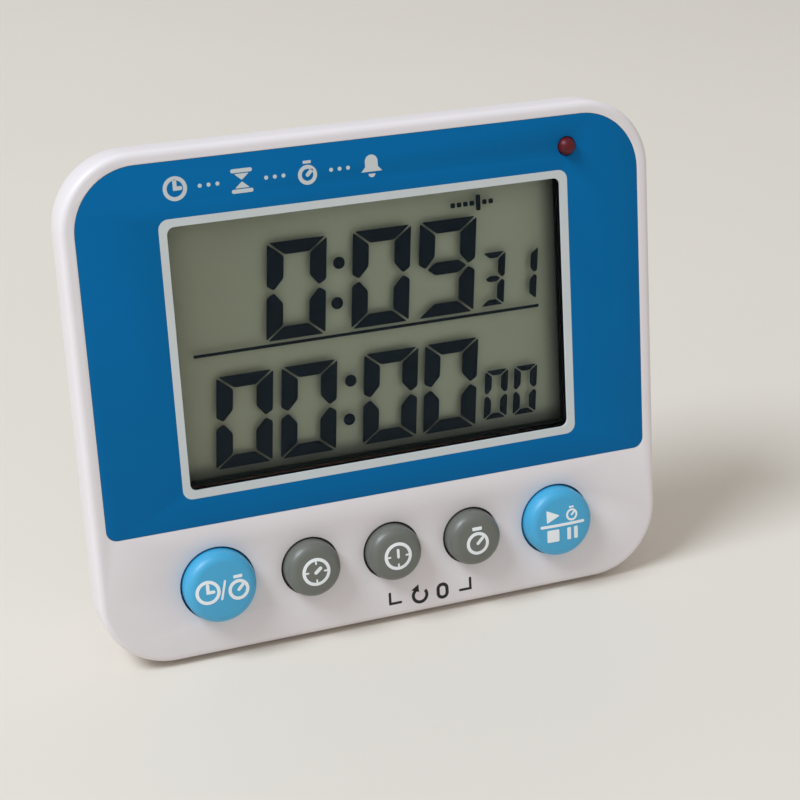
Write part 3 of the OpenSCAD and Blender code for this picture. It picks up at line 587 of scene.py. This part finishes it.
def digit(character, left, low, size):
    drawn = segments(size)
    shapes = []
    for letter in LIT[character]:
        loop = softened(inset(drawn[letter], size[4] / 2), 0.35)
        shapes.append([[(left + x + y * LEAN, low + y) for x, y in loop]])
    return shapes


line_v = middle - 0.4
upper_v = line_v + 0.55
lower_v = window["low"] + 1.65
picture = []
for character, left in (("0", -18.0), ("0", -3.6), ("9", 7.9)):
    picture += digit(character, left, upper_v, BIG_UPPER)
for character, left in (("3", 19.2), ("1", 25.1)):
    picture += digit(character, left, upper_v + 0.5, SMALL_UPPER)
for left in (-28.0, -17.1, -2.95, 7.75):
    picture += digit("0", left, lower_v, BIG_LOWER)
for left in (18.85, 24.2):
    picture += digit("0", left, lower_v + 0.75, SMALL_LOWER)
for x, v in ((-4.77, 61.15), (-5.5, 54.6), (-4.1, 41.38), (-4.77, 34.88)):
    picture.append(disc(x, v, 1.0))
picture.append([round_rect(-29.9, line_v - 0.26, 29.9, line_v + 0.26, 0.2)])

# Seven marks for the days of the week, with the fifth one tall
DAY_X, DAY_V, DAY_PITCH, DAY_HALF = 15.3, 67.95, 1.12, 0.4
for day in range(7):
    x = DAY_X + DAY_PITCH * day
    tall = 1.3 if day == 4 else DAY_HALF
    picture.append([round_rect(x - DAY_HALF, DAY_V - tall, x + DAY_HALF, DAY_V + tall, 0.2)])
print_piece("display_picture", picture, ink_low, ink_high, "case", segment_ink)

# ---- Pictograms on the panel and the case


def hand_pair(cx, cy, long_hand, short_hand, width):
    return stroke([(cx, cy + long_hand), (cx, cy), (cx + short_hand, cy)], width)


def clock(cx, cy, r, width):
    return [ring(cx, cy, r, width), hand_pair(cx, cy, 0.6 * r, 0.45 * r, width)]


def stopwatch(cx, cy, r, width):
    body_r = 0.82 * r
    low = cy - r + body_r
    return [
        ring(cx, low, body_r, width),
        stroke([(cx, low), (cx + 0.35 * r, low + 0.35 * r)], width),
        [round_rect(cx - 0.35 * r, low + body_r + 0.12 * r, cx + 0.35 * r, cy + r, 0.1)],
    ]


def hourglass(cx, cy, r, width):
    half = 0.62 * r
    gap = width * 1.25
    upper = [(cx - half, cy + r - gap), (cx, cy + 0.06 * r), (cx + half, cy + r - gap)]
    lower = [(x, 2 * cy - y) for x, y in upper[::-1]]
    bar = half + width * 0.4
    return [
        [softened(upper, 0.15)],
        [softened(lower, 0.15)],
        stroke([(cx - bar, cy + r - width / 2), (cx + bar, cy + r - width / 2)], width),
        stroke([(cx - bar, cy - r + width / 2), (cx + bar, cy - r + width / 2)], width),
    ]


def bell(cx, cy, r, width):
    dome_r = 0.56 * r
    dome_y = cy + 0.3 * r
    base = cy - 0.55 * r
    outline = arc(cx, dome_y, dome_r, 0, 180, 16) + [
        (cx - dome_r, cy - 0.15 * r), (cx - 0.92 * r, base),
        (cx + 0.92 * r, base), (cx + dome_r, cy - 0.15 * r),
    ]
    return [[outline], band(cx, base - 0.18 * r, 0.3 * r, 0.3 * r - 0.01, 180, 360, 10)]


title_v = (window["high"] + BORDER + panel.high / MM) / 2 + 0.15
title_left = window["left"]
ICON_R = 1.9
ICON_PITCH = 10.6
LINE_W = 0.62
DOT_R, DOT_START, DOT_PITCH = 0.32, 3.9, 1.4
title = []
for i, draw in enumerate((clock, hourglass, stopwatch, bell)):
    title += draw(title_left + ICON_R + ICON_PITCH * i, title_v, ICON_R, LINE_W)
for i in range(3):
    dots_x = title_left + ICON_R + ICON_PITCH * i + DOT_START
    for k in range(3):
        title.append(disc(dots_x + DOT_PITCH * k, title_v, DOT_R, 20))
print_piece("panel_pictograms", title, 0, PRINT_T, "case", print_silver)

buttons = {name: Box(name + "_button") for name in ("mode", "hour", "minute", "second", "start_stop")}

# Reset mark under the minute and second buttons: two brackets, a turning arrow and a zero
reset_x = (buttons["minute"].x + buttons["second"].x) / 2 / MM - 0.65
reset_v = 3.1
reset = []
for side in (-1, 1):
    edge = reset_x + side * 7.3
    foot_v = reset_v - 0.55
    reset.append(stroke([(edge, reset_v + 1.3), (edge, foot_v), (edge - side * 1.9, foot_v)], 0.44))
arrow_x = reset_x - 1.9
reset.append(band(arrow_x, reset_v, 1.5, 0.56, 110, 400, 30))
arrow_head = [(-1.5, 1.15), (-0.15, 0.6), (-0.2, 2.0)]
reset.append([[(arrow_x + x, reset_v + y) for x, y in arrow_head]])
zero = [
    round_rect(reset_x + 1.1, reset_v - 1.45, reset_x + 3.3, reset_v + 1.45, 1.05),
    round_rect(reset_x + 1.68, reset_v - 0.87, reset_x + 2.72, reset_v + 0.87, 0.47),
]
reset.append(zero)
print_piece("reset_mark", reset, 0, PRINT_T, "case", print_black)

# ---- Button marks, on the crown of each cap

# Millimetres: the hidden flange round a cap, the rounding of its rim, its dome, and the line width
FLANGE = 0.85
CAP_ROUND = 1.6
CROWN = 0.2
MARK_W = 0.55


def crown(button):
    """Height of a cap's top at a point of the face frame, in millimetres"""
    flat_r = button.w / 2 / MM - FLANGE - CAP_ROUND
    top = button.front / MM

    def height(x, v):
        off = math.hypot(x - button.x / MM, v - button.v / MM) / flat_r
        return top - CROWN * off * off
    return height


def button_mark(name, shapes):
    button = buttons[name]
    shapes = placed(shapes, button.x / MM, button.v / MM)
    low, high = 0.004, 0.03
    print_piece(name + "_mark", shapes, low, high, name + "_key", print_white, crown(button))


def dial(hand, hand_w, ticks):
    """A dial with one hand and a tick in each of the given directions"""
    r, tick_end, tick_start = 2.4, 1.4, 1.75
    marks = [stroke([(tick_start * c, tick_start * s), (tick_end * c, tick_end * s)], 0.3) for c, s in ticks]
    return [ring(0, 0, r, MARK_W), stroke(hand, hand_w)] + marks


EAST, NORTH, WEST, SOUTH = (1, 0), (0, 1), (-1, 0), (0, -1)
slash = stroke([(0.35, 1.5), (-0.35, -1.5)], 0.36)
button_mark("mode", clock(-2.55, 0, 2.05, MARK_W) + stopwatch(2.55, 0, 2.15, MARK_W) + [slash])
button_mark("hour", dial([(-0.1, -0.1), (0.7, 0.55)], 0.62, (EAST, NORTH, WEST, SOUTH)))
button_mark("minute", dial([(0, -0.15), (0, 1.1)], 0.46, (EAST, WEST, SOUTH)))
button_mark("second", stopwatch(0, 0, 2.45, MARK_W))
button_mark("start_stop", [
    [softened([(-2.9, 0.6), (-0.5, 1.75), (-2.9, 2.9)], 0.2)],
    [round_rect(-4.1, -0.25, 4.1, 0.25, 0.22)],
    [round_rect(-2.9, -2.9, -0.7, -0.7, 0.2)],
    [round_rect(0.8, -2.9, 1.5, -0.7, 0.15)],
    [round_rect(2.1, -2.9, 2.8, -0.7, 0.15)],
] + stopwatch(1.75, 1.75, 1.3, 0.36))

# ---- Marks beside the alarm switch, on the rear: sound, sound and light, light


def lamp(cx, cy, r, width):
    rays = [
        stroke([(cx + 0.68 * r * c, cy + 0.68 * r * s), (cx + 0.95 * r * c, cy + 0.95 * r * s)], width)
        for c, s in ((math.cos(math.radians(a)), math.sin(math.radians(a))) for a in range(0, 360, 45))
    ]
    return [disc(cx, cy, 0.42 * r, 24)] + rays


knob = Box("switch_knob")
rear = Box("rear_housing").back / MM
mark_x, mark_v = knob.x / MM + 5.2, knob.v / MM
MARK_R, MARK_RISE = 1.15, 3.2
BELL_W, RAY_W = 0.2, 0.22
switch_marks = bell(mark_x, mark_v + MARK_RISE, MARK_R, BELL_W) + bell(mark_x + 1.5, mark_v, MARK_R, BELL_W)
switch_marks += lamp(mark_x - 1.2, mark_v, MARK_R, RAY_W) + lamp(mark_x, mark_v - MARK_RISE, MARK_R, RAY_W)
print_piece("switch_marks", switch_marks, rear - 0.04, rear, "case", print_black)

# ---- Stage, light and camera


def stage():
    floor_mesh = bpy.data.meshes.new("floor")
    bm = bmesh.new()
    bmesh.ops.create_grid(bm, x_segments=1, y_segments=1, size=4)
    bm.to_mesh(floor_mesh)
    bm.free()
    floor = bpy.data.objects.new("floor", floor_mesh)
    bpy.context.scene.collection.objects.link(floor)
    floor_mesh.materials.append(
        surface("floor_pale", rgb(228, 221, 210), 0.5, vary=0.02, cloud=4, texture=300, depth=1e-6)
    )


def area_light(name, place, target, size, power, colour):
    light = bpy.data.lights.new(name, "AREA")
    light.shape = "DISK"
    light.size = size
    light.energy = power
    light.color = colour
    fixture = bpy.data.objects.new(name, light)
    bpy.context.scene.collection.objects.link(fixture)
    fixture.location = place
    fixture.rotation_euler = (Vector(target) - Vector(place)).to_track_quat("-Z", "Y").to_euler()


def lights():
    world = bpy.data.worlds.new("studio")
    bpy.context.scene.world = world
    world.use_nodes = True
    world.node_tree.nodes["Background"].inputs["Color"].default_value = (1, 0.975, 0.95, 1)
    world.node_tree.nodes["Background"].inputs["Strength"].default_value = 0.5
    target = (0, 0, 0.04)
    area_light("key", (-1.14, -0.24, 1.56), target, 0.85, 28, (0.83, 0.915, 1))


def camera():
    """The photograph's camera, placed from the middle of the panel"""
    offset = Vector((-99.96, 76.65, 283.1)) * MM
    pitch, yaw = math.radians(-25.16), math.radians(21.21)
    lens_mm = 86.7
    data = bpy.data.cameras.new("camera")
    data.lens = lens_mm
    data.sensor_width = 36
    data.clip_start = 0.01
    eye = bpy.data.objects.new("camera", data)
    bpy.context.scene.collection.objects.link(eye)
    eye.location = FACE @ (Vector((panel.x, panel.v, 0)) + offset)
    eye.rotation_euler = (math.pi / 2 + pitch, 0, -yaw)
    bpy.context.scene.camera = eye


stage()
lights()
camera()
bpy.context.scene.view_settings.view_transform = "Standard"
